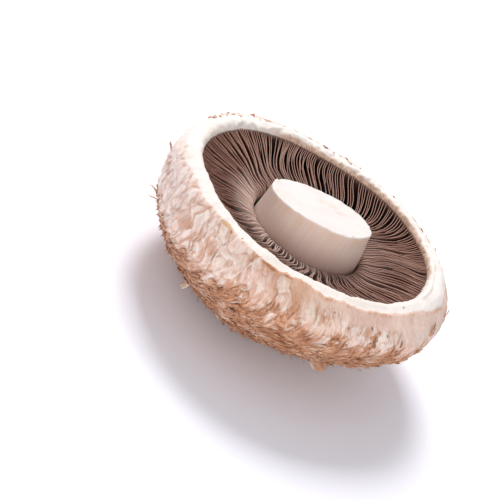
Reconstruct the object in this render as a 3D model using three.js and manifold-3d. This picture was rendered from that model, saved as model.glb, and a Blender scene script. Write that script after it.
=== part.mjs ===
// A portobello mushroom with its stem cut short, resting on the crown of its cap with the gills up.
// Three pieces: the fleshy cap with its scaly skin and rolled-in lip, the ring of brown gills that lines
// the bowl of the cap, and the white stem that stands in the middle.
// Millimetres, +Z up. The origin is on the surface that the cap rests on, under the middle of the crown.
import * as THREE from "three";
import { mergeVertices } from "three/addons/utils/BufferGeometryUtils.js";
import Module from "manifold-3d";

const wasm = await Module();
wasm.setup();

// Cap
const CAP_RADIUS = 52; // widest, at the equator of the cap
const EQUATOR_Z = 32; // height of that widest ring above the surface
const REST_RADIUS = 9; // the small flat spot that the cap rests on
const SHOULDER_IN = 7.5; // how far the shoulder draws in above the equator
const SHOULDER_UP = 10; // and how far it rises
const LIP = [
  [45.4, 42.25],
  [44.2, 42.35],
  [43.1, 41.9],
  [42.3, 40.9],
  [41.9, 39.7],
]; // the rolled lip, from its crest to where the gills begin: radius, height
const MOUTH_ASIDE = 2.1; // the lip sits this far to one side of the crown
const CAP_COLUMNS = 96; // steps round the cap

// Scales on the skin
const SCALE_ROWS = 9;
const SCALE_COLUMNS = 3; // steps round the cap that one scale takes
const FIRST_SCALE_DEG = 15; // along the dome, from the crown towards the lip
const LAST_SCALE_DEG = 90;
const LAST_TIP_DEG = 95; // no tip runs ahead past here
const SCALE_ROOT_DEG = 0.6; // from the tips of one row to the roots of the next
const SCALE_RISE = 0.95; // how far the free tip of a scale stands off the flesh
const SCALE_POINT_DEG = 2.2; // how far a scale's tip runs ahead of its sides

// Bowl, gills and stem
const BOWL_SEAT_Z = 24.5; // where the stem stands on the flesh of the cap
const BOWL_INNER = 20; // radius where the bowl starts to rise
const BOWL_OUTER = 41.5; // radius of the wall inside the lip
const BOWL_RISE = 8;
const GILL_GAP = 0.3; // between the ring of gills and the flesh under it
const GILL_FLOOR = 1.2; // thickness of the ring that carries the gills
const GILL_SUNK = 0.7; // how deep a gill's root is sunk in that ring
const GILL_THICK = 0.7;
const GILL_INNER = 20.4; // radius of a full gill's inner end, just clear of the stem
const GILL_OUTER = 41.1;
const GILL_INNER_Z = 34.1; // height of a gill's edge at its inner end
const GILL_EDGE_RISE = 5.1; // how far the edge climbs towards the lip
const GILL_HEEL = 1.3; // a gill's inner end slants over this length
const GILL_HEEL_DROP = 1.4; // and drops this far
const GILL_SWAY = 0.05; // how far a gill sways sideways, in radians
const GILL_SWAY_LENGTH = 6; // along the radius, for each radian of the sway's wave
const FULL_GILLS = 90; // each with one short gill beside it
const SHORT_GILL_START = 27.5; // a short gill starts about here
const STEM_RADIUS = 18.6;
const STEM_SWELL = 0.6; // the foot of the stem is this much wider
const STEM_OFF_X = -0.5; // the stem stands a little off the middle
const CUT_Z = 43.2; // height of the cut at the stem's axis
const CUT_SLOPE = [0.1, -0.18]; // rise of the cut face for each millimetre along X and Y
const STEM_COLUMNS = 48;

const COLOURS = { cap: 0xd8b49a, gills: 0x9c7668, stem: 0xf2ebe2 };

// A repeatable draw between 0 and 1 from two whole numbers.
function draw(a, b) {
  const s = Math.sin(a * 127.1 + b * 311.7) * 43758.5453;
  return s - Math.floor(s);
}

function smooth(from, to, value) {
  const t = Math.min(1, Math.max(0, (value - from) / (to - from)));
  return t * t * (3 - 2 * t);
}

// The uneven growth of a real cap, used on the cap and its gills alike: the outline has slight lobes,
// the lip rises and falls, and the mouth of the cap sits a little to one side.
function grow(p) {
  const radius = Math.hypot(p.x, p.y);
  const turn = Math.atan2(p.y, p.x);
  const outer = smooth(22, 40, radius);
  const high = smooth(33, 42, p.z);
  const broadLobes = 0.008 * Math.cos(2 * turn + 0.6) + 0.006 * Math.cos(3 * turn - 1);
  const lobes = broadLobes + 0.004 * Math.cos(5 * turn + 2);
  const wave = 0.45 * Math.cos(2 * turn - 0.8) + 0.3 * Math.cos(5 * turn + 0.4);
  p.x = p.x * (1 + lobes * outer) - MOUTH_ASIDE * high;
  p.y *= 1 + lobes * outer;
  p.z += wave * outer * high;
  return p;
}

function moveVertices(geometry, move) {
  const position = geometry.getAttribute("position");
  const p = new THREE.Vector3();
  for (let i = 0; i < position.count; i++) {
    p.fromBufferAttribute(position, i);
    move(p, i);
    position.setXYZ(i, p.x, p.y, p.z);
  }
  return geometry;
}

// A closed profile of [radius, height] points turned about +Z.
function turned(profile, columns) {
  const points = profile.map(([r, z]) => new THREE.Vector2(r, z));
  return new THREE.LatheGeometry(points, columns).rotateX(Math.PI / 2);
}

function solid(geometry) {
  const bare = geometry.clone();
  bare.deleteAttribute("normal");
  bare.deleteAttribute("uv");
  const merged = mergeVertices(bare, 1e-4);
  return new wasm.Manifold(
    new wasm.Mesh({
      numProp: 3,
      vertProperties: merged.attributes.position.array,
      triVerts: new Uint32Array(merged.index.array),
    }),
  );
}

function geometryOf(made) {
  const mesh = made.getMesh();
  return new THREE.BufferGeometry()
    .setAttribute("position", new THREE.BufferAttribute(mesh.vertProperties, 3))
    .setIndex(new THREE.BufferAttribute(mesh.triVerts, 1));
}

// The dome: a half ellipse whose tip is cut level to give the flat spot.
const CROWN_DEG = THREE.MathUtils.radToDeg(Math.asin(REST_RADIUS / CAP_RADIUS));
const DOME_HEIGHT = EQUATOR_Z / Math.cos(THREE.MathUtils.degToRad(CROWN_DEG));

function onDome(degrees, rise = 0) {
  const a = THREE.MathUtils.degToRad(degrees);
  const slope = new THREE.Vector2(Math.sin(a) * DOME_HEIGHT, -Math.cos(a) * CAP_RADIUS).normalize();
  return [
    CAP_RADIUS * Math.sin(a) + slope.x * rise,
    EQUATOR_Z - DOME_HEIGHT * Math.cos(a) + slope.y * rise,
  ];
}

// The flesh under the gills is a shallow cone.
function bowlHeight(radius) {
  return BOWL_SEAT_Z + (BOWL_RISE * (radius - BOWL_INNER)) / (BOWL_OUTER - BOWL_INNER);
}

// A gill's free edge. A shallow gill is cut back from it, the more so towards the stem.
function gillEdgeHeight(radius, cutBack) {
  const across = (radius - GILL_INNER) / (GILL_OUTER - GILL_INNER);
  return GILL_INNER_Z + GILL_EDGE_RISE * across ** 1.15 - cutBack * (1 - across);
}

// Each row of scales is a slow rise from the flesh to the free tips, then a sharp step back down.
// rows holds, for each point of the profile, what the scales do there.
function capProfile() {
  const profile = [[0, 0], onDome(CROWN_DEG)];
  const rows = [null, null];
  const rowDeg = (LAST_SCALE_DEG - FIRST_SCALE_DEG) / SCALE_ROWS;
  for (let row = 0; row <= SCALE_ROWS; row++) {
    const degrees = FIRST_SCALE_DEG + row * rowDeg;
    if (row > 0) {
      profile.push(onDome(degrees));
      rows.push({ row: row - 1, degrees, tip: true });
    }
    profile.push(onDome(degrees + SCALE_ROOT_DEG));
    rows.push({ row: row - 1, degrees: degrees + SCALE_ROOT_DEG, tip: false });
  }
  for (const degrees of [20, 38, 56, 74]) {
    const a = THREE.MathUtils.degToRad(degrees);
    profile.push([CAP_RADIUS - SHOULDER_IN * (1 - Math.cos(a)), EQUATOR_Z + SHOULDER_UP * Math.sin(a)]);
  }
  profile.push(...LIP, [BOWL_OUTER, bowlHeight(BOWL_OUTER)], [BOWL_INNER, BOWL_SEAT_Z], [0, BOWL_SEAT_Z]);
  while (rows.length < profile.length) rows.push(null);
  return { profile, rows };
}

function makeCap() {
  const { profile, rows } = capProfile();
  const geometry = turned(profile, CAP_COLUMNS);
  moveVertices(geometry, (p, i) => {
    const spot = rows[i % profile.length];
    if (spot && spot.row >= 0) {
      const column = Math.floor(i / profile.length) % CAP_COLUMNS;
      const shifted = column + 2 * spot.row + (spot.row % 2);
      const scale = Math.floor((shifted % CAP_COLUMNS) / SCALE_COLUMNS);
      const middle = shifted % SCALE_COLUMNS === 1;
      const vigour = 0.45 + 0.75 * draw(scale, spot.row);
      const ahead = (middle ? SCALE_POINT_DEG : -0.5 * SCALE_POINT_DEG) * vigour;
      const rise = spot.tip ? SCALE_RISE * vigour * (middle ? 1 : 0.55) : 0;
      const [radius, z] = onDome(Math.min(spot.degrees + ahead, LAST_TIP_DEG), rise);
      const turn = Math.atan2(p.y, p.x);
      p.set(radius * Math.cos(turn), radius * Math.sin(turn), z);
    }
    grow(p);
  });
  return geometry;
}

// One gill: its side view is drawn in radius and height, and given its thickness.
function gillBlade(from, cutBack) {
  const stations = [0.45, 1].map((t) => from + (GILL_OUTER - from) * t);
  const root = (radius) => bowlHeight(radius) + GILL_GAP + GILL_FLOOR - GILL_SUNK;
  const side = new THREE.Shape();
  side.moveTo(from, root(from));
  side.lineTo(GILL_OUTER, root(GILL_OUTER));
  for (const radius of [...stations, from + GILL_HEEL].sort((a, b) => b - a)) {
    side.lineTo(radius, gillEdgeHeight(radius, cutBack));
  }
  side.lineTo(from, gillEdgeHeight(from, cutBack) - GILL_HEEL_DROP);
  side.closePath();
  const blade = new THREE.ExtrudeGeometry(side, { depth: GILL_THICK, bevelEnabled: false });
  return blade.translate(0, 0, -GILL_THICK / 2).rotateX(Math.PI / 2);
}

// The gills: blades that fan out from the stem to the lip on one thin ring, full and short by turns.
function makeGills() {
  const inner = GILL_INNER - 0.3;
  const outer = GILL_OUTER + 0.1;
  const under = (radius) => [radius, bowlHeight(radius) + GILL_GAP];
  const over = (radius) => [radius, bowlHeight(radius) + GILL_GAP + GILL_FLOOR];
  let made = solid(turned([under(inner), under(outer), over(outer), over(inner), under(inner)], FULL_GILLS));
  for (let i = 0; i < 2 * FULL_GILLS; i++) {
    const full = i % 2 === 0;
    const from = full ? GILL_INNER : SHORT_GILL_START + 6 * (draw(i, 3) - 0.5);
    const stray = 0.22 * (draw(i, 7) - 0.5);
    const cutBack = full ? 0.5 * draw(i, 5) : 0.8 + draw(i, 5);
    const blade = gillBlade(from, cutBack).rotateZ(((i + 0.5 + stray) * Math.PI) / FULL_GILLS);
    made = made.add(solid(blade));
  }
  return moveVertices(geometryOf(made), (p) => {
    const radius = Math.hypot(p.x, p.y);
    const turn = Math.atan2(p.y, p.x);
    const wave = Math.sin((radius - GILL_INNER) / GILL_SWAY_LENGTH + 3 * turn);
    const sway = GILL_SWAY * wave * smooth(20, 30, radius);
    p.x = radius * Math.cos(turn + sway);
    p.y = radius * Math.sin(turn + sway);
    grow(p);
  });
}

// The stem: a stout pillar on the flesh of the cap, cut off on a slight slant.
function makeStem() {
  const foot = BOWL_SEAT_Z;
  const profile = [
    [0, foot],
    [STEM_RADIUS - 1.4, foot],
    [STEM_RADIUS + 0.1, foot + 1.4],
    [STEM_RADIUS + STEM_SWELL, foot + 5],
    [STEM_RADIUS + 0.4, foot + 9],
    [STEM_RADIUS, foot + 12.5],
    [STEM_RADIUS - 0.1, CUT_Z - 0.5],
    [STEM_RADIUS - 0.5, CUT_Z],
    [0, CUT_Z],
  ];
  return moveVertices(turned(profile, STEM_COLUMNS), (p) => {
    const turn = Math.atan2(p.y, p.x);
    const slant = smooth(foot + 6, CUT_Z, p.z);
    const oval = 1 + 0.012 * Math.cos(2 * turn - 0.5) + 0.006 * Math.cos(5 * turn);
    p.z += slant * (CUT_SLOPE[0] * p.x + CUT_SLOPE[1] * p.y);
    p.x = p.x * oval + STEM_OFF_X;
    p.y *= oval;
  });
}

function piece(name, geometry, roughness) {
  const material = new THREE.MeshStandardMaterial({ color: COLOURS[name], roughness, metalness: 0 });
  const mesh = new THREE.Mesh(geometry, material);
  mesh.name = name;
  return mesh;
}

const mushroom = new THREE.Group();
mushroom.add(piece("cap", makeCap(), 0.85));
mushroom.add(piece("gills", makeGills(), 0.7));
mushroom.add(piece("stem", makeStem(), 0.6));

export default mushroom;
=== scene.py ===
# %% [markdown]
# A portobello mushroom lies on the crown of its cap, with its gills up and its stem cut short.
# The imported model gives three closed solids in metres, with +Z up: cap, gills and stem. They have the
# right size and place, but they are coarse. This lesson grows a finer piece over each one, in the same
# place, and gives it the finish of real skin, flesh and gills.

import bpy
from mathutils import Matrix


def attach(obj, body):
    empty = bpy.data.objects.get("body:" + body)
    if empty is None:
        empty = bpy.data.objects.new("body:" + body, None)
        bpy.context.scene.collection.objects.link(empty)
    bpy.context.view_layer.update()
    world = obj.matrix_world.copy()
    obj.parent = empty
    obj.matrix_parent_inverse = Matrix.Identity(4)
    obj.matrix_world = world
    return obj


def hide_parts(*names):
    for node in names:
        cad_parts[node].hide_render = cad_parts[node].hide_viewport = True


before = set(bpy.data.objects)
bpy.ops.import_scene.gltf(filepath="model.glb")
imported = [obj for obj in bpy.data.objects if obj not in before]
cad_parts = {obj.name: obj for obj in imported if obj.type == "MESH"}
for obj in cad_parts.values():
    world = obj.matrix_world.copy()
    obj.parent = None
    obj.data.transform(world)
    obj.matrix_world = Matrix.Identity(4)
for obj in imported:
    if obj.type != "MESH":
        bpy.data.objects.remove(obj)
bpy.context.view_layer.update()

# %% [markdown]
# The mushroom is photographed with a long lens from a little above its lip, and the picture is turned,
# so that the stem points up and to the right. A camera that looks along +Y and down, and is then rolled
# about its own line of sight, gives the same view. The mushroom stands a little right of the middle of
# the picture, so the camera is slid to the left in its own plane, which keeps the lens shift at zero.

# %% Place the camera
import math
import random
from bisect import bisect_right

import bmesh
import bpy
from mathutils import Matrix, Vector, noise

MM = 0.001
AIM = Vector((0, 0, 24 * MM))
CAMERA_DISTANCE = 560 * MM
CAMERA_RISE = math.radians(28.4)
CAMERA_ROLL = math.radians(33.8)
CAMERA_SLIDE = Vector((-14.9 * MM, 1.1 * MM, 0))
LENS = 122.9
SENSOR_WIDTH = 36

camera_data = bpy.data.cameras.new("camera")
camera_data.lens = LENS
camera_data.sensor_width = SENSOR_WIDTH
camera = bpy.data.objects.new("camera", camera_data)
bpy.context.scene.collection.objects.link(camera)
looking = Matrix.Rotation(math.pi / 2 - CAMERA_RISE, 4, "X") @ Matrix.Rotation(CAMERA_ROLL, 4, "Z")
stand = AIM + CAMERA_DISTANCE * Vector((0, -math.cos(CAMERA_RISE), math.sin(CAMERA_RISE)))
camera.matrix_world = Matrix.Translation(stand + looking.to_3x3() @ CAMERA_SLIDE) @ looking
bpy.context.scene.camera = camera
print("camera at", [round(c, 3) for c in camera.matrix_world.translation])

# %% [markdown]
# A mushroom grows a little unevenly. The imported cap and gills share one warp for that: the outline has
# slight lobes, the lip rises and falls, and the mouth sits to one side. The fine pieces repeat the same
# warp, so that they stay exactly where the solids are.

# %% Grow a point as the solids grow
MOUTH_ASIDE = 2.1 * MM
LEAN_FROM_Z = 33 * MM
LEAN_TO_Z = 42 * MM


def smooth(low, high, value):
    """0 below low, 1 above high, and smooth between."""
    t = min(1.0, max(0.0, (value - low) / (high - low)))
    return t * t * (3 - 2 * t)


def grow(point):
    """The place of a point after the outline is lobed, the lip waves and the mouth moves aside."""
    radius = math.hypot(point.x, point.y)
    turn = math.atan2(point.y, point.x)
    outer = smooth(22 * MM, 40 * MM, radius)
    high = smooth(LEAN_FROM_Z, LEAN_TO_Z, point.z)
    lobes = 0.008 * math.cos(2 * turn + 0.6) + 0.006 * math.cos(3 * turn - 1)
    lobes += 0.004 * math.cos(5 * turn + 2)
    wave = 0.45 * MM * math.cos(2 * turn - 0.8) + 0.3 * MM * math.cos(5 * turn + 0.4)
    spread = 1 + lobes * outer
    return Vector((point.x * spread - MOUTH_ASIDE * high, point.y * spread, point.z + wave * outer * high))


lip_point = Vector((44 * MM, 0, 42 * MM))
print("a point of the lip moves", grow(lip_point) - lip_point)

# %% [markdown]
# The side view of the cap is one line, from the middle of the crown to the middle of the bowl: the dome
# is part of an ellipse, the shoulder another, and the lip a small round arc that rolls inwards. The line
# has a point every half millimetre where the skin shows, and only a few points under the gills. Each
# point keeps its distance along the line, because the scales, the fibres and the edge of the skin all
# follow that distance.

# %% Draw the side view of the cap
CAP_RADIUS = 52 * MM
EQUATOR_Z = 32 * MM
REST_RADIUS = 9 * MM
SHOULDER_IN = 7.5 * MM
SHOULDER_UP = 10 * MM
SHOULDER_TO = math.radians(72)
LIP_FROM = math.radians(66)
LIP_CENTRE = Vector((44.3 * MM, 39.7 * MM))
LIP_WIDTH = 2.4 * MM
LIP_RISE = 2.65 * MM
BOWL_OUTER = 41.5 * MM
BOWL_INNER = 20 * MM
BOWL_OUTER_Z = 32.5 * MM
BOWL_SEAT_Z = 24.5 * MM
ROW_STEP = 0.56 * MM
LIP_STEP = 0.45 * MM

crown_angle = math.asin(REST_RADIUS / CAP_RADIUS)
dome_height = EQUATOR_Z / math.cos(crown_angle)


def dome(angle):
    return Vector((CAP_RADIUS * math.sin(angle), EQUATOR_Z - dome_height * math.cos(angle)))


def shoulder(angle):
    inwards = SHOULDER_IN * (1 - math.cos(angle))
    return Vector((CAP_RADIUS - inwards, EQUATOR_Z + SHOULDER_UP * math.sin(angle)))


def lip(angle):
    return LIP_CENTRE + Vector((LIP_WIDTH * math.cos(angle), LIP_RISE * math.sin(angle)))


def arc(curve, start, end, step):
    """Points along a curve from one angle to another, about one step apart."""
    fine = [curve(start + (end - start) * i / 400) for i in range(401)]
    length = sum((b - a).length for a, b in zip(fine, fine[1:]))
    count = max(2, round(length / step))
    return [curve(start + (end - start) * i / count) for i in range(count + 1)]


side_view = [Vector((0, 0)), Vector((4.5 * MM, 0))]
side_view += arc(dome, crown_angle, math.pi / 2, ROW_STEP)
side_view += arc(shoulder, 0, SHOULDER_TO, ROW_STEP)[1:]
skin_rows = len(side_view)
side_view += arc(lip, LIP_FROM, math.pi, LIP_STEP)
lip_rows = len(side_view)
side_view += [
    Vector((41.6 * MM, 38.4 * MM)),
    Vector((BOWL_OUTER, 36.5 * MM)),
    Vector((BOWL_OUTER, BOWL_OUTER_Z)),
    Vector((BOWL_INNER, BOWL_SEAT_Z)),
    Vector((0, BOWL_SEAT_Z)),
]


def distances_along(points):
    """How far along a line each of its points is."""
    distances = [0.0]
    for a, b in zip(points, points[1:]):
        distances.append(distances[-1] + (b - a).length)
    return distances


along = distances_along(side_view)
SKIN_END = along[skin_rows - 1]
LIP_END = along[lip_rows - 1]
print(len(side_view), "points, skin to", round(SKIN_END / MM, 1), "mm")
print("lip to", round(LIP_END / MM, 1), "mm")

# %% [markdown]
# The skin of a portobello tears as the cap swells. Near the crown it is a mat of tan brown scales, whose
# free tips point to the lip. Its strands run aslant there, and straighten out as they come near the lip.
# Towards the shoulder the scales thin out, and the torn skin wrinkles over pinkish cream flesh: folds
# with creases between, and one patch of short pleats on the near side. Under the lip the skin ends in a
# ragged ledge above a smooth white band. Low on the right the cap is a little flatter than a dome.
#
# All of that is height and colour as a function of two things, the turn round the stem and the distance
# along the side view, so a few functions of noise describe it. Noise is read on a cylinder, because it
# then meets itself again after a full turn, and it is stretched along the cylinder, because fibres are
# long. Directions are given in degrees: 0 is to the right, -90 to the camera and 180 to the left.

# %% Describe the torn skin
SLANT = 1.7
STRAIGHTEN_FROM = 50 * MM
STRAIGHTEN_OVER = 20 * MM
SCALE_ROW = 5.4 * MM
PLEATS_TOWARDS = -46
PLEATS_HALF_ANGLE = 15
PLEATS_AT = 70.6 * MM
PLEATS_HALF_LENGTH = 3.4 * MM
FLATTENED_BY = 1.7


def grain(turn, distance, across, lengthwise, seed):
    """Noise in patches of one width round the cap and another length towards the lip."""
    ring = CAP_RADIUS / across
    return noise.noise(Vector((math.cos(turn) * ring + seed, math.sin(turn) * ring, distance / lengthwise)))


def facing(turn, towards, low, high):
    """1 on the side of the cap that faces a direction in degrees, 0 on the far side."""
    return smooth(low, high, math.cos(turn - math.radians(towards)))


def band_edge(turn):
    """Distance along the side view where the skin ends and the white band of the lip begins."""
    ragged = 1.0 * grain(turn, 0, 9 * MM, MM, 3) + 0.55 * grain(turn, 0, 2.2 * MM, MM, 5)
    ragged += 0.3 * grain(turn, 0, 0.9 * MM, MM, 6)
    wide = 1.7 * facing(turn, 188, 0.6, 0.98) + 2.4 * facing(turn, 8, 0.8, 1)
    wide -= 0.9 * facing(turn, 110, 0.5, 0.85)
    return SKIN_END - (0.3 + wide + ragged) * MM


def swept(turn, distance):
    """The turn at which a strand of skin started. It runs aslant at first, and straight by the lip."""
    t = min(1.0, max(0.0, (distance - STRAIGHTEN_FROM) / STRAIGHTEN_OVER))
    run = min(distance, STRAIGHTEN_FROM) + STRAIGHTEN_OVER * (t - t**3 + t**4 / 2)
    return turn - SLANT * run / CAP_RADIUS


def rows_of_scales(turn, distance):
    """How far a point is up its scale, 0 at the root and 1 at the free tip, and how strong the scale is."""
    drift = 1.1 * grain(turn, distance, 11 * MM, 12 * MM, 7)
    drift += 0.5 * grain(turn, distance, 2.6 * MM, 9 * MM, 11)
    row = distance / SCALE_ROW + drift + 0.3 * grain(turn, distance, 1.1 * MM, 5 * MM, 13)
    up = row - math.floor(row)
    strength = smooth(-0.35, 0.45, grain(turn, distance, 6 * MM, 6 * MM, 17))
    return up, strength


def covered(turn, distance):
    """How brown and scaly the skin is: 1 over the crown, falling towards the lip."""
    start = 53 - 2 * facing(turn, 190, 0.2, 0.9) + 6.5 * facing(turn, -64, 0.55, 0.92)
    towards_lip = smooth(start * MM, (start + 12) * MM, distance)
    patch = grain(turn, distance, 7 * MM, 8 * MM, 19) + 0.6 * grain(turn, distance, 2.6 * MM, 5 * MM, 23)
    unsure = 0.3 + 3 * towards_lip * (1 - towards_lip)
    return min(1.0, max(0.0, 1.0 - 0.8 * towards_lip + 0.75 * patch * unsure))


def folds(turn, distance):
    """Wrinkles of the torn skin: 0 in a crease and 1 on the pillow between creases."""
    turn = swept(turn, distance)
    sideways = 2.6 * MM * grain(turn, distance, 8 * MM, 8 * MM, 67)
    lengthwise = 2.6 * MM * grain(turn, distance, 7 * MM, 7 * MM, 69)
    coarse = grain(turn + sideways / CAP_RADIUS, distance + lengthwise, 3.6 * MM, 4.4 * MM, 71)
    fine = grain(turn + sideways / CAP_RADIUS, distance + lengthwise, 1.6 * MM, 2.6 * MM, 73)
    return min(1.0, 2.4 * abs(coarse)) ** 0.6 * (0.75 + 0.25 * min(1.0, 3 * abs(fine)))


def wrinkled(turn, distance):
    """Where the skin wrinkles most: the middle zone, higher up at the near left, less on the right."""
    end = (72 + 6 * facing(turn, -130, 0.6, 0.92)) * MM
    zone = smooth(40 * MM, 54 * MM, distance) * (1 - smooth(end, end + 5 * MM, distance))
    zone *= 1 - 0.75 * facing(turn, -25, 0.7, 0.95)
    spread = smooth(-0.5, 0.2, grain(turn, distance, 10 * MM, 9 * MM, 79))
    return zone * max(spread, 0.9 * facing(turn, -135, 0.75, 0.97))


def pleated(turn, distance):
    """A patch on the near side, where the torn skin stands in short white pleats."""
    aside = abs(math.degrees(turn) - PLEATS_TOWARDS) / PLEATS_HALF_ANGLE
    away = abs(distance - PLEATS_AT) / PLEATS_HALF_LENGTH
    return (1 - smooth(0.6, 1, aside)) * (1 - smooth(0.45, 1, away))


def relief(turn, distance):
    """Height of the skin or the flesh over the plain side view."""
    edge = band_edge(turn)
    on_skin = 1 - smooth(edge - 0.25 * MM, edge + 0.35 * MM, distance)
    off_rest = smooth(9.5 * MM, 16 * MM, distance)
    before_gills = 1 - smooth(LIP_END - 1 * MM, LIP_END + 1 * MM, distance)
    up, strength = rows_of_scales(turn, distance)
    brown = covered(turn, distance)
    step = up**1.6 * (1 - smooth(0.9, 1.0, up)) * strength * (0.25 + 0.75 * brown)
    torn = 1 - smooth(edge - 9 * MM, edge - 3 * MM, distance)
    start = swept(turn, distance)
    ridges = 1 - abs(2.4 * grain(start, distance, 2.3 * MM, 4.5 * MM, 29))
    strands = 0.46 * ridges + 0.36 * grain(start, distance, 1.3 * MM, 3 * MM, 31)
    swell = grain(turn, distance, 12 * MM, 12 * MM, 37) + 0.5 * grain(turn, distance, 5 * MM, 6 * MM, 38)
    pillows = 0.7 * folds(turn, distance) * (0.15 + 0.85 * wrinkled(turn, distance))
    step *= 0.45 + 0.55 * (1 - smooth(34 * MM, 46 * MM, distance))
    skin = 0.85 * step + (0.25 + 0.75 * torn) * strands + 0.2 * brown + pillows - 0.5
    ledge = 0.75 * facing(turn, -75, 0.3, 0.9) + 0.9 * facing(turn, 118, 0.6, 0.9)
    ledge *= smooth(edge - 2.6 * MM, edge - 0.4 * MM, distance)
    far_side = facing(turn, 85, 0.2, 0.7)
    band = 0.4 * grain(turn, distance, 6 * MM, 5 * MM, 41)
    band += (0.2 + 0.35 * far_side) * grain(turn, distance, 1.9 * MM, 1.8 * MM, 43)
    band += (0.12 + 0.2 * far_side) * grain(turn, distance, 1 * MM, 1 * MM, 45)
    towards_gills = smooth(LIP_END - 3.4 * MM, LIP_END - 1.5 * MM, distance)
    band += 0.25 * towards_gills * grain(turn, 0, 1.3 * MM, MM, 44)
    groove_line = LIP_END - 4.6 * MM + 0.9 * MM * grain(turn, 0, 6 * MM, MM, 47)
    groove = facing(turn, 12, 0.8, 0.97) * (1 - smooth(0.2 * MM, 1.1 * MM, abs(distance - groove_line)))
    height = on_skin * (skin + ledge) + (1 - on_skin) * (band - 0.9 * groove) * before_gills
    flattened = facing(turn, -40, 0.5, 0.95) * smooth(18 * MM, 32 * MM, distance)
    flattened *= 1 - smooth(46 * MM, 64 * MM, distance)
    return (height * off_rest + (0.3 * swell - FLATTENED_BY * flattened) * off_rest * before_gills) * MM


edges = [round(band_edge(quarter * math.pi / 2) / MM, 1) for quarter in range(4)]
print("the skin ends", edges, "mm along at four sides")

# %% [markdown]
# The line is turned round the Z axis with the spin operator, which closes the body, and the doubled
# vertices on the axis are merged. Each vertex then moves out by the height of the skin there and grows
# as the solid does. The distance along the line rides on the vertices through the spin as a number of
# their own, so nothing has to be worked out from their places afterwards.

# %% Turn the cap
CAP_COLUMNS = 512


def turned(points, distances, columns):
    """A bmesh with a side view spun round Z. Each vertex keeps its distance along the side view."""
    bm = bmesh.new()
    keep = bm.verts.layers.float.new("along")
    verts = [bm.verts.new((p.x, 0, p.y)) for p in points]
    for vert, distance in zip(verts, distances):
        vert[keep] = distance
    edges = [bm.edges.new(pair) for pair in zip(verts, verts[1:])]
    bmesh.ops.spin(bm, geom=verts + edges, cent=(0, 0, 0), axis=(0, 0, 1), angle=2 * math.pi,
                   steps=columns, use_merge=True)
    bmesh.ops.remove_doubles(bm, verts=bm.verts[:], dist=0.001 * MM)
    bmesh.ops.recalc_face_normals(bm, faces=bm.faces[:])
    return bm


def lean_of(distance):
    """Place and outward direction of the side view at a distance along it."""
    i = min(len(along) - 2, max(0, bisect_right(along, distance) - 1))
    share = (distance - along[i]) / (along[i + 1] - along[i])
    here = side_view[i].lerp(side_view[i + 1], share)
    before, after = side_view[max(0, i - 1)], side_view[min(len(side_view) - 1, i + 2)]
    direction = (after - before).normalized()
    return here, Vector((direction.y, -direction.x))


def skin_point(turn, distance, rise, here=None, outward=None):
    """A point over the skin, at a turn round the cap and a distance along its side view."""
    if here is None:
        here, outward = lean_of(distance)
    height = relief(turn, distance) + rise
    radius = here.x + outward.x * height
    z = max(0.0, here.y + outward.y * height)
    return grow(Vector((radius * math.cos(turn), radius * math.sin(turn), z)))


def lay_skin(bm):
    """Move every vertex of the turned cap to its place on the skin, the lip or the bowl."""
    keep = bm.verts.layers.float["along"]
    rows = {round(d / MM, 3): lean_of(d) for d in along}
    for vert in bm.verts:
        distance = vert[keep]
        here, outward = rows[round(distance / MM, 3)]
        if here.x < 1 * MM or distance > LIP_END + 3 * MM:
            vert.co = grow(vert.co)
            continue
        turn = math.atan2(vert.co.y, vert.co.x)
        vert.co = skin_point(turn, distance, 0, here, outward)


cap_bm = turned(side_view, along, CAP_COLUMNS)
lay_skin(cap_bm)
print("cap", len(cap_bm.verts), "vertices")

# %% [markdown]
# The finish of the skin needs to know where it is: how far round and along, how brown, and whether it is
# skin or the white band. It also needs to know where the skin is wrinkled, creased or pleated, where the
# flesh is pale and where painted light lifts the sides that the lamps leave darker, where spores stain the
# wall inside the lip, and where that wall is painted dark as shade between the ends of the gills. These
# are written on the vertices as attributes, which a material can read. The place round and along is
# stored on the same cylinder as the noise above, once as it is and once aslant, so that fibres drawn by
# the material run the same way as the ones in the mesh.

# %% Write attributes on a mesh
BAND_SOFT = 2 * MM


def place_on_cylinder(turn, distance):
    return Vector((CAP_RADIUS * math.cos(turn), CAP_RADIUS * math.sin(turn), distance))


def new_layers(bm, vectors, numbers):
    """Attributes for the finish, by name."""
    layers = {name: bm.verts.layers.float_vector.new(name) for name in vectors}
    layers.update({name: bm.verts.layers.float.new(name) for name in numbers})
    return layers


def finish_piece(name, bm):
    """Make the object of a bmesh, and say which body it rides on."""
    mesh = bpy.data.meshes.new(name)
    bm.to_mesh(mesh)
    bm.free()
    mesh.shade_smooth()
    piece = bpy.data.objects.new(name, mesh)
    bpy.context.scene.collection.objects.link(piece)
    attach(piece, "root")
    print(name, sum(len(p.vertices) - 2 for p in mesh.polygons), "triangles")
    return piece


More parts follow.
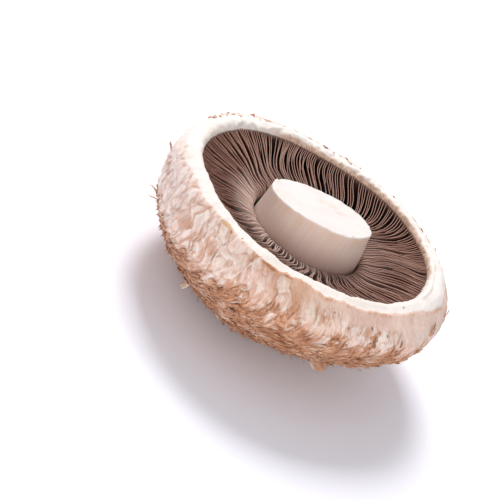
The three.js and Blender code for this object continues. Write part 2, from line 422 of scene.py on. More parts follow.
keep = cap_bm.verts.layers.float["along"]
SKIN_NUMBERS = ("brown", "band", "tip", "fold", "wrinkled", "pleated", "pale_and_painted_light", "stain", "root")
skin = new_layers(cap_bm, ("cylinder", "aslant"), SKIN_NUMBERS)
for vert in cap_bm.verts:
    turn = math.atan2(vert.co.y, vert.co.x + MOUTH_ASIDE * smooth(LEAN_FROM_Z, LEAN_TO_Z, vert.co.z))
    distance = vert[keep]
    edge = band_edge(turn)
    up, strength = rows_of_scales(turn, distance)
    vert[skin["cylinder"]] = place_on_cylinder(turn, distance)
    vert[skin["aslant"]] = place_on_cylinder(swept(turn, distance), distance)
    vert[skin["brown"]] = covered(turn, distance)
    vert[skin["band"]] = (distance - edge) / BAND_SOFT * (1 - 0.7 * facing(turn, 188, 0.6, 0.95))
    vert[skin["tip"]] = up * strength
    vert[skin["fold"]] = 1 - (1 - folds(turn, distance)) * (0.25 + 0.75 * wrinkled(turn, distance))
    vert[skin["wrinkled"]] = wrinkled(turn, distance)
    vert[skin["pleated"]] = pleated(turn, distance)
    # The pale flesh at the left and near the lip is its own colour. At the near right the lift is partly
    # its own pale pink and partly painted light, and low at the near left it is painted light, on sides
    # that the lamps leave darker.
    pale_left = facing(turn, 186, 0.5, 0.9) * smooth(52 * MM, 64 * MM, distance)
    pale_near = 0.65 * facing(turn, -132, 0.6, 0.96) * smooth(64 * MM, 74 * MM, distance)
    pale_and_painted_light_right = 0.5 * facing(turn, -28, 0.5, 0.92) * smooth(60 * MM, 70 * MM, distance)
    painted_light_low = 0.3 * facing(turn, -125, 0.6, 0.95) * smooth(30 * MM, 42 * MM, distance)
    vert[skin["pale_and_painted_light"]] = max(pale_left, pale_near, pale_and_painted_light_right, painted_light_low)
    uneven = distance + 0.8 * MM * grain(turn, 0, 2 * MM, MM, 61)
    inner_wall = smooth(LIP_END - 3.2 * MM, LIP_END - 1.2 * MM, uneven)
    vert[skin["stain"]] = inner_wall * (0.15 + 0.85 * facing(turn, 66, 0.3, 0.65))
    vert[skin["root"]] = smooth(LIP_END - 0.5 * MM, LIP_END + 0.2 * MM, distance)
cap = finish_piece("cap_skin", cap_bm)
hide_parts("cap")

# %% [markdown]
# Single scales and shreds stand off the skin, and they give the outline its ragged look. Each one is a
# small grid: its root is sunk in the skin, its body follows the dome, and its tip lifts and curls. There
# are broad scales, long thin shreds like torn wood, a few flakes that stand out, two of them blunt, and
# small shreds under the far lip. Brown skin carries many scales, pale flesh few. The solidify operator
# then gives all of them their thickness at once. They are many, so each one has only a few dozen faces.

# %% Raise scales and shreds
SCALE_THICK = 0.14 * MM
chance = random.Random(41)
scales_bm = bmesh.new()
scale_skin = new_layers(scales_bm, ("cylinder", "aslant"), SKIN_NUMBERS)


def raise_scale(turn, distance, length, width, lift, brown, slant=0.0, blunt=0.0, columns=2, rows=5):
    """One scale with its root at a place on the skin. Its free tip points to the lip, or aslant."""
    slant += chance.uniform(-0.3, 0.3)
    curl = chance.uniform(-0.5, 1.0)
    phase = chance.uniform(0, 6)
    point = chance.uniform(0.6, 1.6)
    made = bmesh.ops.create_grid(scales_bm, x_segments=columns, y_segments=rows, size=0.5)
    for vert in made["verts"]:
        side, up = vert.co.x * 2, vert.co.y + 0.5
        nick = noise.noise(Vector((side * width / (1.1 * MM) + phase, 7, phase)))
        up *= 1 + 0.35 * (1 - blunt) * nick
        ragged = 1 + 0.25 * noise.noise(Vector((side * 2 + phase, up * 5, phase)))
        half = 0.5 * width * (0.45 + 0.55 * math.sin(math.pi * min(1, 0.2 + up * 0.8)) ** point) * ragged
        half *= 1 - 0.75 * smooth(0.7, 1, up)
        rounded = (0.85 + 0.25 * up) * (1 - 0.55 * smooth(0.72, 1.05, up))
        half += blunt * (0.5 * width * rounded * ragged - half)
        across = side * half + slant * up * length + 0.12 * width * math.sin(3 * up + phase)
        rise = -0.3 * MM + lift * max(0.0, up) ** 1.8 + 0.36 * MM * smooth(0, 0.35, up)
        rise += 0.3 * lift * noise.noise(Vector((side * width / (1.6 * MM), up * 2, phase * 2))) * up
        rise += curl * abs(side) * width * 0.18 * up
        onward = up * length * (1 - 0.12 * up * curl)
        where = distance + onward
        turned_by = turn + across / max(12 * MM, lean_of(where)[0].x)
        vert.co = skin_point(turned_by, where, rise)
        vert[scale_skin["cylinder"]] = place_on_cylinder(turned_by, where)
        vert[scale_skin["aslant"]] = place_on_cylinder(swept(turned_by, where), where)
        vert[scale_skin["brown"]] = brown
        vert[scale_skin["band"]] = -4
        vert[scale_skin["tip"]] = 0.25 + 0.6 * up
        vert[scale_skin["fold"]] = 1


BROAD_SCALES = 420
SHREDS = 1600
RIM_SHREDS = 60
made_scales = 0
while made_scales < BROAD_SCALES + SHREDS:
    turn = chance.uniform(-math.pi, math.pi)
    distance = (14 + 56 * chance.random() ** 0.6) * MM
    room = lean_of(distance)[0].x / CAP_RADIUS
    here_covered = covered(turn, distance)
    if chance.random() > room * here_covered**3:
        continue
    brown = min(1.0, 0.2 + 0.8 * here_covered + chance.uniform(-0.55, 0.2))
    calm = 1 - 0.7 * smooth(46 * MM, 64 * MM, distance)
    if made_scales < BROAD_SCALES:
        raise_scale(turn, distance, chance.uniform(1.6, 3.6) * MM, chance.uniform(1.5, 4) * room * MM,
                    calm * chance.uniform(0.05, 0.6) * MM, brown, columns=4, rows=3)
    else:
        aslant = SLANT * (1 - smooth(STRAIGHTEN_FROM, STRAIGHTEN_FROM + STRAIGHTEN_OVER, distance))
        reach = chance.uniform(1.6, 5.5) * MM / math.hypot(1, aslant)
        raise_scale(turn, distance, reach, chance.uniform(0.4, 1.1) * MM,
                    calm * (0.1 + 0.9 * chance.random() ** 3) * 1.3 * MM, brown, slant=aslant, rows=5)
    made_scales += 1

# The flakes that stand out on the outline, and a few pale ones: turn in degrees, distance along the
# skin, length, width and lift in millimetres, and how brown each is.
STANDING_FLAKES = [
    (-57.5, 47.8, 1.4, 6.2, 3.4, 0.4),
    (-123, 45.4, 1.0, 2.2, 3.3, -1.0),
    (-75, 56.3, 3.0, 2.0, 1.2, 0.0),
    (-1, 70.0, 2.6, 1.7, 1.5, 0.8),
    (-16, 68.6, 4.2, 2.6, 1.3, 0.9),
    (-23, 62.0, 5.2, 1.8, 1.9, 0.7),
    (-176, 66.6, 3.0, 1.4, 1.7, 0.9),
    (-162, 56.8, 3.6, 0.8, 2.2, 0.8),
    (-159, 55.4, 3.4, 0.7, 2.4, 0.9),
    (-98, 55.0, 3.6, 2.2, 1.6, 0.6),
    (-48, 58.5, 3.8, 2.0, 1.8, 0.8),
    (35, 63.0, 3.2, 1.8, 1.8, 0.7),
    (78, 66.0, 3.4, 1.5, 1.5, 0.8),
    (120, 61.0, 3.0, 2.2, 2.0, 0.1),
    (150, 52.0, 4.0, 2.6, 2.4, 0.5),
]
for degrees, distance, length, width, lift, brown in STANDING_FLAKES:
    raise_scale(math.radians(degrees), distance * MM, length * MM, width * MM, lift * MM, brown,
                blunt=0.9 if lift > 3 else 0.0, columns=5, rows=7)
for i in range(RIM_SHREDS):
    turn = math.radians(chance.uniform(25, 165))
    distance = band_edge(turn) - chance.uniform(0.5, 4) * MM
    raise_scale(turn, distance, chance.uniform(1.2, 3) * MM, chance.uniform(0.8, 2.2) * MM,
                chance.random() ** 2 * 0.5 * MM, chance.uniform(-0.6, 0.0), rows=4)
bmesh.ops.solidify(scales_bm, geom=scales_bm.faces[:], thickness=SCALE_THICK)
bmesh.ops.recalc_face_normals(scales_bm, faces=scales_bm.faces[:])
for vert in scales_bm.verts:
    vert.co.z = max(0.0, vert.co.z)
scales = finish_piece("cap_scales", scales_bm)
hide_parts("cap")

# %% [markdown]
# The gills are thin blades that fan out from the stem to the lip, long and short by turns. On a real cap
# they lean against each other in bunches, so that some gaps close and others open into dark slits, and
# their free edges wave. Each blade here is a grid with its lower edge in a thin ring. It gets a lean, a
# slow bend that it shares with its neighbours, and a small wave of its own. On the far side the bunches
# are looser. Beside the stem the free edges are pale, and at the near left painted light makes them
# paler still.

# %% Fan out the gills
FULL_GILLS = 140
GILL_INNER = 20.4 * MM
GILL_OUTER = 42.5 * MM
GILL_INNER_Z = 34.1 * MM
GILL_EDGE_RISE = 5.1 * MM
GILL_GAP = 0.3 * MM
GILL_THICK = 0.25 * MM
GILL_RISE_SEGMENTS = 4
GILL_LENGTH_SEGMENTS = 22


def bowl_z(radius):
    """Height of the flesh under the gills."""
    return BOWL_SEAT_Z + (BOWL_OUTER_Z - BOWL_SEAT_Z) * (radius - BOWL_INNER) / (BOWL_OUTER - BOWL_INNER)


def gill_edge_z(radius, cut_back):
    """Height of the free edge of a gill."""
    across = max(0.0, (radius - GILL_INNER) / (GILL_OUTER - GILL_INNER))
    return GILL_INNER_Z + GILL_EDGE_RISE * across**1.15 + 1.0 * MM * across**7 - cut_back * (1 - across)


def bunch(turn, radius):
    """How far round a gill is pushed by the bunch that it leans in, in radians."""
    ring = Vector((math.cos(turn), math.sin(turn), 0))
    sway = math.sin((radius - GILL_INNER) / (6 * MM) + 3 * turn)
    shared = 0.085 * sway * smooth(20 * MM, 30 * MM, radius)
    slow = 0.035 * noise.noise(ring * 2.3 + Vector((0, 0, radius / (14 * MM))))
    tight = 0.016 * noise.noise(ring * 9 + Vector((5, 0, radius / (16 * MM))))
    return shared + slow + tight


gills_bm = bmesh.new()
depth_layer = gills_bm.verts.layers.float.new("depth")
tone_layer = gills_bm.verts.layers.float.new("tone")
pale_and_painted_light_layer = gills_bm.verts.layers.float.new("pale_and_painted_light")
cylinder = gills_bm.verts.layers.float_vector.new("cylinder")
pick = random.Random(17)


def raise_gill(turn, start, cut_back, pull):
    """One blade from its start to the lip. Pull is how far its bunch leans it over."""
    lean = pick.uniform(-0.22, 0.22) * MM + pull
    phase = pick.uniform(0, 2 * math.pi)
    wave = pick.uniform(0.04, 0.16) * MM
    tone = pick.random()
    made = bmesh.ops.create_grid(gills_bm, x_segments=GILL_LENGTH_SEGMENTS,
                                 y_segments=GILL_RISE_SEGMENTS, size=0.5)
    ring = Vector((math.cos(turn), math.sin(turn), 0))
    for vert in made["verts"]:
        out, up = vert.co.x + 0.5, 1 - (0.5 - vert.co.y) ** 2.4
        radius = start + (GILL_OUTER - start) * out
        root = bowl_z(radius) + GILL_GAP + 0.5 * MM
        nibbled = 0.18 * MM * noise.noise(Vector((radius / (2.2 * MM), phase * 3, 0)))
        edge = gill_edge_z(radius, cut_back) + nibbled
        rounded = (1 - smooth(0, 0.09, out)) ** 2
        height = root + (edge - root - rounded * 1.5 * MM) * up
        bunched = 0.32 * MM * noise.noise(ring * 7 + Vector((0, 3, radius / (11 * MM))))
        free = smooth(GILL_INNER, GILL_INNER + 7 * MM, radius)
        free *= 1 - 0.85 * smooth(GILL_OUTER - 9 * MM, GILL_OUTER - 2 * MM, radius)
        sideways = (lean + bunched) * free * up + wave * math.sin(radius / (1.9 * MM) + phase) * up
        crimp = 0.3 * math.sin(phase) * up + 0.24 * math.sin(height / (0.8 * MM) + 2 * phase)
        end_curl = crimp * MM * (1 - smooth(0, 0.16, out))
        angle = turn + bunch(turn, radius) + (sideways + end_curl) / radius
        vert.co = grow(Vector((radius * math.cos(angle), radius * math.sin(angle), height)))
        vert[depth_layer] = up
        vert[tone_layer] = tone
        # Pale beside the stem, and painted light at the near left makes the free edges paler still.
        near_stem = 1 - smooth(GILL_INNER + 2 * MM, GILL_INNER + 13 * MM, radius)
        vert[pale_and_painted_light_layer] = near_stem * (0.25 + 0.75 * facing(turn, -124, 0.2, 0.8)) * smooth(0.3, 0.95, up)
        vert[cylinder] = Vector((radius, turn * 30 * MM, height))


bunch_of = []
while len(bunch_of) < 2 * FULL_GILLS:
    size = pick.choice((2, 3, 3, 4, 5))
    bunch_of += [k - (size - 1) / 2 for k in range(size)]
half_step = math.pi / FULL_GILLS
for i in range(2 * FULL_GILLS):
    from_middle = bunch_of[i]
    turn = half_step * (i + pick.uniform(-0.12, 0.12) - 0.12 * from_middle)
    gathered = 1 - 0.6 * facing(turn, 62, 0.4, 0.9)
    turn += 0.12 * half_step * from_middle * (1 - gathered)
    pull = -0.22 * MM * from_middle * gathered
    if i % 2 == 0:
        gutter = pick.uniform(0, 0.5) - 0.6 - 0.6 * math.cos(turn)
        raise_gill(turn, GILL_INNER + gutter * MM, pick.uniform(0, 0.5) * MM, pull)
    elif pick.random() > 0.08:
        start = (23 + 13 * pick.random()) * MM
        raise_gill(turn, start, pick.uniform(0.3, 1.3) * MM, pull)
bmesh.ops.solidify(gills_bm, geom=gills_bm.faces[:], thickness=GILL_THICK)
bmesh.ops.recalc_face_normals(gills_bm, faces=gills_bm.faces[:])
gills = finish_piece("gill_blades", gills_bm)
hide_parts("gills")

# %% [markdown]
# Under the blades lies the flesh that they grow from. It only shows as darkness at the bottom of the
# gaps, so a ring with a plain side view is enough. It is spun like the cap. It has no attributes, which
# the finish reads as 0, the deepest place, painted in the near black shade of the gaps.

# %% Turn the floor under the gills
RING_IN = GILL_INNER - 0.3 * MM
RING_OUT = GILL_OUTER - 0.4 * MM
RING_THICK = 1.2 * MM
RING_COLUMNS = 192
corners = [(RING_IN, 0), (RING_OUT, 0), (RING_OUT, RING_THICK), (RING_IN, RING_THICK), (RING_IN, 0)]
ring_view = [Vector((radius, bowl_z(radius) + GILL_GAP + up)) for radius, up in corners]
floor_bm = turned(ring_view, [0] * len(ring_view), RING_COLUMNS)
for vert in floor_bm.verts:
    vert.co = grow(vert.co)
gill_floor = finish_piece("gill_floor", floor_bm)
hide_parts("gills")

# %% [markdown]
# The stem is a stout pillar of white flesh. A knife cut it on a slight slant, and left a crisp rim with
# small chips and one raised corner. On the right it narrows towards the cut. Its side has fine upright
# strands. It is spun from a side view as well, then each vertex moves a little for the strands, the
# uneven outline, the rim and the slant of the cut.

# %% Turn the stem
STEM_RADIUS = 18.6 * MM
STEM_OFF_X = -0.5 * MM
CUT_Z = 43.2 * MM
CUT_SLOPE = (0.1, -0.18)
CORNER_AT = (-18.2 * MM, 1.9 * MM)
STEM_FOOT_RADIUS = 17.2 * MM
STEM_SIDE_ROWS = 40
STEM_COLUMNS = 256
CUT_RINGS = 14
stem_view = [Vector((0, BOWL_SEAT_Z)), Vector((STEM_FOOT_RADIUS, BOWL_SEAT_Z))]
for i in range(STEM_SIDE_ROWS + 1):
    up = i / STEM_SIDE_ROWS
    swell = 0.6 * MM * (1 - smooth(0.1, 0.7, up)) - 0.25 * MM * smooth(0.6, 1, up)
    height = BOWL_SEAT_Z + 1.4 * MM + up * (CUT_Z - BOWL_SEAT_Z - 1.8 * MM)
    stem_view.append(Vector((STEM_RADIUS + swell, height)))
stem_view += [
    Vector((STEM_RADIUS - 0.35 * MM, CUT_Z - 0.12 * MM)),
    Vector((STEM_RADIUS - 0.6 * MM, CUT_Z)),
    Vector((STEM_RADIUS - 1.2 * MM, CUT_Z - 0.04 * MM)),
]
for i in range(1, CUT_RINGS + 1):
    stem_view.append(Vector(((STEM_RADIUS - 1.2 * MM) * (1 - i / CUT_RINGS), CUT_Z - 0.05 * MM)))
stem_bm = turned(stem_view, [0] * len(stem_view), STEM_COLUMNS)
cylinder = stem_bm.verts.layers.float_vector.new("cylinder")
cut_layer = stem_bm.verts.layers.float.new("cut")
for vert in stem_bm.verts:
    radius = math.hypot(vert.co.x, vert.co.y)
    turn = math.atan2(vert.co.y, vert.co.x)
    up = (vert.co.z - BOWL_SEAT_Z) / (CUT_Z - BOWL_SEAT_Z)
    vert[cylinder] = Vector((STEM_RADIUS * math.cos(turn), STEM_RADIUS * math.sin(turn), vert.co.z))
    at_rim = smooth(CUT_Z - 1.5 * MM, CUT_Z - 0.1 * MM, vert.co.z)
    vert[cut_layer] = at_rim
    oval = 1 + 0.012 * math.cos(2 * turn - 0.5) + 0.006 * math.cos(5 * turn)
    oval -= 0.07 * smooth(0.5, 1, up) * facing(turn, 0, 0.6, 1)
    corner = 1 - smooth(0.4 * MM, 2.6 * MM, (vert.co.xy - Vector(CORNER_AT)).length)
    chipped = 0.35 * grain(turn, 0, 7 * MM, MM, 89) * smooth(STEM_RADIUS - 1.8 * MM, STEM_RADIUS, radius)
    strands = 0.09 * MM * grain(turn, vert.co.z, 1.6 * MM, 14 * MM, 53)
    strands += 0.12 * MM * grain(turn, vert.co.z, 6 * MM, 20 * MM, 59)
    rim = smooth(STEM_RADIUS - 2 * MM, STEM_RADIUS - 0.5 * MM, radius)
    ripple = 0.08 * MM * noise.noise(vert.co / (5 * MM)) if up > 0.95 else 0
    slant = smooth(BOWL_SEAT_Z + 6 * MM, CUT_Z, vert.co.z)
    raised = slant * (CUT_SLOPE[0] * vert.co.x + CUT_SLOPE[1] * vert.co.y)
    out = (oval + strands * rim / max(radius, MM)) if radius > 0 else 1
    raised += at_rim * (0.8 * corner + chipped) * MM
    z = vert.co.z + raised + ripple * (1 - rim)
    vert.co = Vector((vert.co.x * out + STEM_OFF_X, vert.co.y * out, z))
stem = finish_piece("stem_flesh", stem_bm)
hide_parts("stem")

# %% [markdown]
# The finishes are networks of shader nodes. To keep their maths readable, a small class wraps a socket,
# so that Python's own operators add the Math nodes: 1 - mask is an expression, not three lines of links.
# Every other node comes from one method, which takes the node's type, its settings, and what goes into
# its sockets.

# %% A class for shader maths


class Wire:
    """One output socket in a finish. Operators on it add Math nodes."""

    def __init__(self, finish, socket):
        self.finish = finish
        self.socket = socket

    def __add__(self, other):
        return self.finish.maths("ADD", self, other)

    def __sub__(self, other):
        return self.finish.maths("SUBTRACT", self, other)

    def __rsub__(self, other):
        return self.finish.maths("SUBTRACT", other, self)

    def __mul__(self, other):
        return self.finish.maths("MULTIPLY", self, other)

    __radd__ = __add__

    def ramp(self, low, high):
        """0 below low, 1 above high, and smooth between."""
        sockets = {"Value": self, "From Min": low, "From Max": high}
        return self.finish.node("ShaderNodeMapRange", {"interpolation_type": "SMOOTHSTEP"}, sockets)


class Finish:
    """A material and its nodes."""

    def __init__(self, name):
        self.material = bpy.data.materials.new(name)
        self.material.use_nodes = True
        self.tree = self.material.node_tree
        self.tree.nodes.clear()

    def node(self, kind, settings=None, sockets=None, output=0):
        made = self.tree.nodes.new(kind)
        for key, value in (settings or {}).items():
            setattr(made, key, value)
        for key, value in (sockets or {}).items():
            if isinstance(value, Wire):
                self.tree.links.new(value.socket, made.inputs[key])
            else:
                made.inputs[key].default_value = value
        return Wire(self, made.outputs[output]) if len(made.outputs) else None

    def maths(self, operation, *values):
        return self.node("ShaderNodeMath", {"operation": operation}, dict(enumerate(values)))

    def attribute(self, name, output="Fac"):
        return self.node("ShaderNodeAttribute", {"attribute_name": name}, output=output)

    def colour(self, red, green, blue):
        """A colour as seen on screen, 0 to 255, made linear for the shader."""
        linear = [((c / 255 + 0.055) / 1.055) ** 2.4 for c in (red, green, blue)]
        return (*linear, 1)

    def blend(self, factor, first, second):
        """The first colour at factor 0, and the second at 1."""
        settings = {"data_type": "RGBA", "clamp_factor": True}
        return self.node("ShaderNodeMix", settings, {0: factor, 6: first, 7: second}, output=2)

    def stretched(self, vector, x, y, z):
        return self.node("ShaderNodeVectorMath", {"operation": "MULTIPLY"}, {0: vector, 1: (x, y, z)})

    def length(self, vector):
        return self.node("ShaderNodeVectorMath", {"operation": "LENGTH"}, {0: vector}, output="Value")

    def noise(self, vector, scale, detail, roughness, distortion=0.0):
        sockets = {"Vector": vector, "Scale": scale, "Detail": detail, "Roughness": roughness}
        sockets["Distortion"] = distortion
        return self.node("ShaderNodeTexNoise", {}, sockets)

    def surface(self, colour, roughness, bumps, subsurface, radius, specular):
        """The closing shader: bumps is a list of height, strength and distance."""
        normal = None
        for height, strength, distance in bumps:
            sockets = {"Strength": strength, "Distance": distance, "Height": height}
            if normal is not None:
                sockets["Normal"] = normal
            normal = self.node("ShaderNodeBump", {}, sockets)
        sockets = {
            "Base Color": colour,
            "Roughness": roughness,
            "Subsurface Weight": subsurface,
            "Subsurface Radius": radius,
            "Subsurface Scale": 1.0,
            "Specular IOR Level": specular,
        }
        if normal is not None:
            sockets["Normal"] = normal
        shader = self.node("ShaderNodeBsdfPrincipled", {}, sockets)
        self.node("ShaderNodeOutputMaterial", {}, {"Surface": shader})
        return self.material


print("shader maths ready")

# %% [markdown]
# Skin, flesh and the white band are one continuous surface on the cap, so they are one finish. Its base
# is cream flesh with a pink tinge, paler in places, and lifted by painted light where the lamps leave the
# side darker. Over that go tan brown fibres, as dense as the brown attribute says, with painted shade in
# darker red brown at the foot of each row of scales and an orange edge at the tips. Where the skin is
# wrinkled, noise cut into steps draws curled layers, pale on top, with a tan rim and a painted shadow
# beneath. Painted shade darkens the creases between the folds, and fine pale ridges draw the pleats. The
# band of the lip is creamy white. The wall inside it is stained tan by the spores, and painted dark brown
# as shade between the ends of the gills. Last come blemishes.

# %% Finish of the cap
CURL = 9 * MM
# Turn in degrees, distance along the skin, half width and half height in millimetres, and a colour.
BLEMISHES = [
    (-116, 78.4, 3.4, 1.4, (206, 160, 114)),
    (-108.5, 78.9, 0.5, 0.45, (128, 78, 44)),
    (-113, 77.6, 0.7, 0.6, (168, 122, 72)),
    (-94, 77.1, 4.0, 0.7, (178, 118, 78)),
    (-86.5, 77.6, 2.4, 0.45, (184, 124, 84)),
    (-31.5, 80.3, 0.42, 0.42, (70, 48, 36)),
    (-50, 73.2, 0.42, 0.8, (112, 58, 40)),
    (-46.5, 72.2, 0.36, 0.7, (118, 62, 44)),
    (-43, 71.6, 0.45, 0.6, (122, 66, 44)),
    (-60, 71.4, 0.5, 0.6, (150, 96, 64)),
    (-66, 74.4, 0.3, 0.5, (140, 90, 66)),
    (62, 74.0, 0.5, 0.6, (134, 84, 56)),
    (140, 71.0, 0.6, 0.9, (126, 76, 50)),
]


def skin_finish(name):
    f = Finish(name)
    place = f.attribute("cylinder", "Vector")
    aslant = f.attribute("aslant", "Vector")
    brown = f.attribute("brown")
    band = f.attribute("band")
    tip = f.attribute("tip")
    fold = f.attribute("fold")
    wrinkles = f.attribute("wrinkled")
    pleats = f.attribute("pleated")
    pale_and_painted_light = f.attribute("pale_and_painted_light")
    stain = f.attribute("stain")
    strands = f.noise(f.stretched(aslant, 1, 1, 0.34), 640, 4, 0.6, 0.8)
    along_strands = f.stretched(aslant, 1, 1, 0.45)
    fibres = f.noise(along_strands, 1700, 3, 0.65, 0.5)
    patches = f.noise(f.stretched(place, 1, 1, 0.5), 170, 4, 0.55)
    blotches = f.noise(place, 60, 2, 0.5)

    flesh = f.blend(blotches.ramp(0.35, 0.65), f.colour(232, 194, 168), f.colour(213, 161, 130))
    flesh = f.blend(fibres.ramp(0.45, 0.7) * 0.5, flesh, f.colour(208, 152, 120))
    flesh = f.blend(pale_and_painted_light * 0.95, flesh, f.colour(249, 231, 224))
    torn = 1 - (band + 3.6).ramp(0.0, 2.2)
    flesh = f.blend(strands.ramp(0.5, 0.62) * torn * 0.6, flesh, f.colour(246, 234, 224))
    wander = f.node("ShaderNodeTexNoise", {}, {"Vector": place, "Scale": 85.0, "Detail": 2.0}, "Color")
    shift = f.node("ShaderNodeVectorMath", {"operation": "SUBTRACT"}, {0: wander, 1: (0.5, 0.5, 0.5)})
    curls = f.stretched(shift, CURL, CURL, CURL)
    curled = f.node("ShaderNodeVectorMath", {"operation": "ADD"}, {0: along_strands, 1: curls})
    layers = f.maths("FRACT", f.noise(curled, 150, 2.5, 0.5) * 6.0)
    # Painted shadow: just past each step, under the curled layer above, the flesh is painted darker tan.
    painted_layer_shadow = (1 - layers.ramp(0.0, 0.4)) * wrinkles
    rim = layers.ramp(0.8, 0.95) * wrinkles
    flesh = f.blend(wrinkles * layers.ramp(0.3, 0.8) * 0.62, flesh, f.colour(250, 240, 231))
    drawn = 1 - pale_and_painted_light.ramp(0.2, 1.0) * 0.7
    flesh = f.blend(painted_layer_shadow * 0.85 * drawn, flesh, f.colour(204, 146, 112))
    flesh = f.blend(rim * 0.7 * drawn, flesh, f.colour(196, 130, 86))
    # Painted shade: the creases between the folds are painted darker tan.
    painted_crease_shade = (1 - fold).ramp(0.3, 0.85) * 0.5
    flesh = f.blend(painted_crease_shade, flesh, f.colour(200, 142, 106))
    ridge = f.noise(f.stretched(curled, 1, 1, 0.4), 620, 2, 0.5)
    flesh = f.blend(pleats * ridge.ramp(0.46, 0.58) * 0.7, flesh, f.colour(252, 243, 236))
    flesh = f.blend(pleats * (1 - ridge.ramp(0.36, 0.46)) * 0.6, flesh, f.colour(206, 150, 116))

    cover = brown * 1.15 + (0.5 - strands) * 1.6 + (patches - 0.5) * 1.7
    cover = (cover - 0.2 - pale_and_painted_light * 0.25).ramp(0.25, 0.75)
    tan = f.blend(fibres.ramp(0.38, 0.62), f.colour(182, 118, 82), f.colour(226, 175, 140))
    tan = f.blend(patches.ramp(0.52, 0.74) * 0.5, tan, f.colour(168, 106, 74))
    tan = f.blend((1 - strands.ramp(0.36, 0.47)) * 0.8, tan, f.colour(126, 72, 45))
    skin = f.blend(cover * 0.92, flesh, tan)
    # Painted shade: the foot of each row of scales, under the free tips of the row nearer the crown, is
    # painted darker red brown.
    painted_tip_shade = (1 - tip.ramp(0.0, 0.1)) * brown.ramp(0.3, 0.9) * 0.35
    skin = f.blend(painted_tip_shade, skin, f.colour(132, 78, 50))
    stipple = f.noise(place, 1500, 2, 0.5).ramp(0.6, 0.72) * (1 - brown.ramp(0.4, 0.8)) * 0.45
    skin = f.blend(stipple, skin, f.colour(204, 150, 120))
    edge_tint = tip.ramp(0.6, 0.95) * brown.ramp(0.1, 0.7) * 0.45
    skin = f.blend(edge_tint, skin, f.colour(200, 140, 96))
    ledge = (1 - (band + 0.35).ramp(0.0, 0.35)) * (band + 0.9).ramp(0.0, 0.6)
    ledge = ledge * strands.ramp(0.35, 0.6) * patches.ramp(0.42, 0.56)
    skin = f.blend(ledge * 0.8 * drawn, skin, f.colour(208, 152, 108))

    white = f.blend(blotches.ramp(0.4, 0.75) * 0.5, f.colour(239, 231, 225), f.colour(233, 219, 207))
    spores = f.blend(fibres.ramp(0.3, 0.7), f.colour(182, 134, 104), f.colour(234, 206, 184))
    white = f.blend((stain + (fibres - 0.5) * 0.9).ramp(0.3, 0.9) * 0.85, white, spores)
    # Painted shade: the wall between the ends of the gills is painted dark brown.
    white = f.blend(f.attribute("root"), white, f.colour(70, 44, 36))
    white_mask = (band + (strands - 0.5) * 0.35).ramp(-0.05, 0.12)
    torn_strands = (strands - 0.5) * (1 - white_mask * 0.75) * (1 - pale_and_painted_light * (1 - wrinkles) * 1.2)
    colour = f.blend(white_mask, skin, white)
    for degrees, distance, radius, height, (red, green, blue) in BLEMISHES:
        there = place_on_cylinder(math.radians(degrees), distance * MM)
        apart = f.node("ShaderNodeVectorMath", {"operation": "SUBTRACT"}, {0: place, 1: there})
        apart = f.length(f.stretched(apart, 1, 1, radius / height))
        spot = 1 - (apart + (fibres - 0.5) * radius * 0.9 * MM).ramp(0.45 * radius * MM, radius * MM)
        colour = f.blend(spot * 0.85, colour, f.colour(red, green, blue))
    bumps = [
        (torn_strands, 1.0, 0.95 * MM),
        (layers * wrinkles, 0.9, 0.6 * MM),
        (ridge * pleats, 0.8, 0.8 * MM),
        (fibres, 0.6, 0.3 * MM),
    ]
    return f.surface(colour, 0.68, bumps, 0.07, (2.2 * MM, 1.2 * MM, 0.8 * MM), specular=0.25)


def dress(piece, material):
    piece.data.materials.clear()
    piece.data.materials.append(material)
    print(piece.name, "wears", material.name, "with", len(material.node_tree.nodes), "nodes")


skin_material = skin_finish("cap_skin")
dress(cap, skin_material)
dress(scales, skin_material)

# %% [markdown]
# Gills of a ripe portobello are pinkish brown from their spores, and each blade has its own tone. Their
# free edges are painted a little lighter, a painted highlight. Towards the root the colour falls to a
# near black brown, painted shade for the dark gaps between the blades. Beside the stem the blades are
# paler, and at the near left painted light makes them paler still.

# %% Finish of the gills


def gill_finish():
    f = Finish("gills")
    place = f.attribute("cylinder", "Vector")
    depth = f.attribute("depth")
    tone = f.attribute("tone")
    streaks = f.noise(f.stretched(place, 0.25, 1, 1), 900, 3, 0.6)
    pale_and_painted_light = f.attribute("pale_and_painted_light")
    blade = f.blend(tone, f.colour(84, 54, 44), f.colour(138, 96, 82))
    blade = f.blend(streaks.ramp(0.4, 0.7) * 0.4, blade, f.colour(90, 58, 48))
    # Painted highlight: the free edges of the blades are painted lighter.
    blade = f.blend(depth.ramp(0.97, 1.0) * 0.5, blade, f.colour(190, 149, 133))
    # Painted shade: towards the root the blades are painted near black for the shade in the gaps between
    # them.
    painted_gap_shade = 1 - depth.ramp(0.82, 1.0)
    blade = f.blend(painted_gap_shade, blade, f.colour(30, 16, 12))
    # Beside the stem the blades are paler, and at the near left painted light makes them paler still.
    colour = f.blend(pale_and_painted_light * 0.85, blade, f.colour(226, 203, 192))
    scatter = (1.2 * MM, 0.6 * MM, 0.4 * MM)
    return f.surface(colour, 0.6, [(streaks, 0.3, 0.15 * MM)], 0.12, scatter, specular=0.3)


gill_material = gill_finish()
dress(gills, gill_material)
dress(gill_floor, gill_material)

# %% [markdown]
# The stem is creamy white. Its side is faintly streaked along its strands and a little yellow under the
# cut, and painted shade darkens it towards the foot, least on the left. The cut face is smooth and bright,
# with a few salmon marks near its middle where the flesh is older.

# %% Finish of the stem
MARKS_AT = (2.5 * MM, 6 * MM, 0)
DOT_AT = (11.7 * MM, -12.1 * MM, 0)


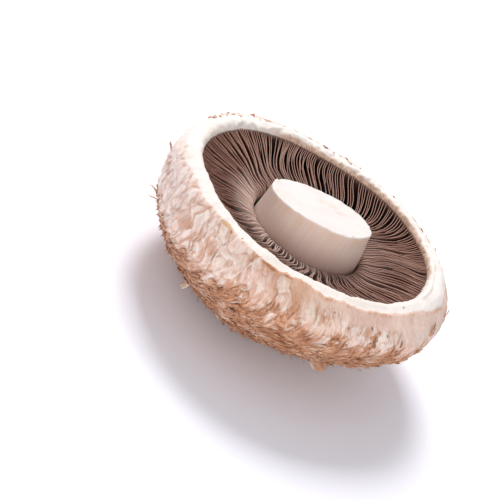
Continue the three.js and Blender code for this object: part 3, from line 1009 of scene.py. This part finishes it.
def stem_finish():
    f = Finish("stem")
    place = f.attribute("cylinder", "Vector")
    cut = f.attribute("cut")
    here = f.node("ShaderNodeTexCoord", {}, {}, output="Object")
    strands = f.noise(f.stretched(place, 1, 1, 0.06), 1100, 3, 0.55)
    broad = f.noise(f.stretched(place, 1, 1, 0.2), 220, 2, 0.5)
    height = f.node("ShaderNodeSeparateXYZ", {}, {"Vector": here}, output="Z")
    side = f.blend(strands.ramp(0.35, 0.75) * 0.25, f.colour(238, 216, 205), f.colour(220, 194, 182))
    side = f.blend(broad.ramp(0.45, 0.8) * 0.25, side, f.colour(228, 202, 188))
    across = f.node("ShaderNodeSeparateXYZ", {}, {"Vector": place}, output="X")
    # Painted shade: the side is painted darker towards the foot, least on the left.
    painted_foot_shade = (1 - height.ramp(27 * MM, 42 * MM)) * (0.3 + across.ramp(-16 * MM, -7 * MM) * 0.6)
    side = f.blend(painted_foot_shade, side, f.colour(174, 128, 112))
    yellowed = height.ramp(38.5 * MM, 43 * MM) * broad.ramp(0.4, 0.6) * strands.ramp(0.3, 0.6)
    side = f.blend(yellowed * 0.45, side, f.colour(232, 208, 174))
    face_noise = f.noise(here, 90, 3, 0.5, 0.4)
    face = f.blend(face_noise.ramp(0.4, 0.7) * 0.5, f.colour(231, 224, 220), f.colour(224, 211, 204))
    aside = f.node("ShaderNodeVectorMath", {"operation": "SUBTRACT"}, {0: here, 1: MARKS_AT})
    far = f.length(f.stretched(aside, 1.0, 1.5, 0.0))
    marks = f.noise(f.stretched(here, 1.0, 2.6, 0.0), 300, 3, 0.5, 0.8).ramp(0.5, 0.66)
    marks = marks * (1 - far.ramp(2 * MM, 9 * MM))
    face = f.blend(marks * 0.8, face, f.colour(220, 172, 152))
    from_dot = f.node("ShaderNodeVectorMath", {"operation": "SUBTRACT"}, {0: here, 1: DOT_AT})
    dot = 1 - f.length(f.stretched(from_dot, 1, 1, 0)).ramp(0.25 * MM, 0.5 * MM)
    face = f.blend(dot * 0.9, face, f.colour(96, 62, 48))
    colour = f.blend((cut + (strands - 0.5) * 1.2).ramp(0.6, 0.95), side, face)
    scatter = (3.0 * MM, 2.0 * MM, 1.4 * MM)
    return f.surface(colour, 0.5, [(strands, 0.25, 0.2 * MM)], 0.3, scatter, specular=0.3)


dress(stem, stem_finish())

# %% [markdown]
# The picture is bright and soft, on a white table that fades into a white background. A large pale floor
# under a white sky gives that. One soft lamp behind and above throws the shadow of the far lip on the
# gills, and a wide lamp by the camera fills in the near side.

# %% Floor and light
FLOOR_SIZE = 3.0
SKY_STRENGTH = 0.52
floor_mesh = bpy.data.meshes.new("floor")
stage_bm = bmesh.new()
bmesh.ops.create_grid(stage_bm, x_segments=1, y_segments=1, size=FLOOR_SIZE)
stage_bm.to_mesh(floor_mesh)
stage_bm.free()
floor = bpy.data.objects.new("floor", floor_mesh)
bpy.context.scene.collection.objects.link(floor)
f = Finish("floor")
lit_floor = {"Base Color": f.colour(244, 244, 252), "Roughness": 1.0, "Specular IOR Level": 0.0,
             "Emission Color": f.colour(250, 250, 255), "Emission Strength": 0.05}
floor_shader = f.node("ShaderNodeBsdfPrincipled", {}, lit_floor)
f.node("ShaderNodeOutputMaterial", {}, {"Surface": floor_shader})
floor_mesh.materials.append(f.material)

world = bpy.data.worlds.new("sky")
world.use_nodes = True
world.node_tree.nodes["Background"].inputs["Color"].default_value = (0.97, 0.97, 1.0, 1)
world.node_tree.nodes["Background"].inputs["Strength"].default_value = SKY_STRENGTH
bpy.context.scene.world = world


def soft_lamp(name, place, size, power, colour=(1, 1, 1)):
    """A square area lamp that faces the mushroom."""
    data = bpy.data.lights.new(name, "AREA")
    data.size = size
    data.energy = power
    data.color = colour
    lamp = bpy.data.objects.new(name, data)
    bpy.context.scene.collection.objects.link(lamp)
    away = Vector(place)
    lamp.matrix_world = Matrix.Translation(away) @ (away - AIM).to_track_quat("Z", "Y").to_matrix().to_4x4()


soft_lamp("key", (-0.24, 0.38, 0.64), 0.26, 5.0)
soft_lamp("fill", (0.11, -0.88, 0.27), 0.6, 3.35, (1.0, 0.978, 0.95))
view_settings = bpy.context.scene.view_settings
view_settings.view_transform = "Standard"
view_settings.look = "None"
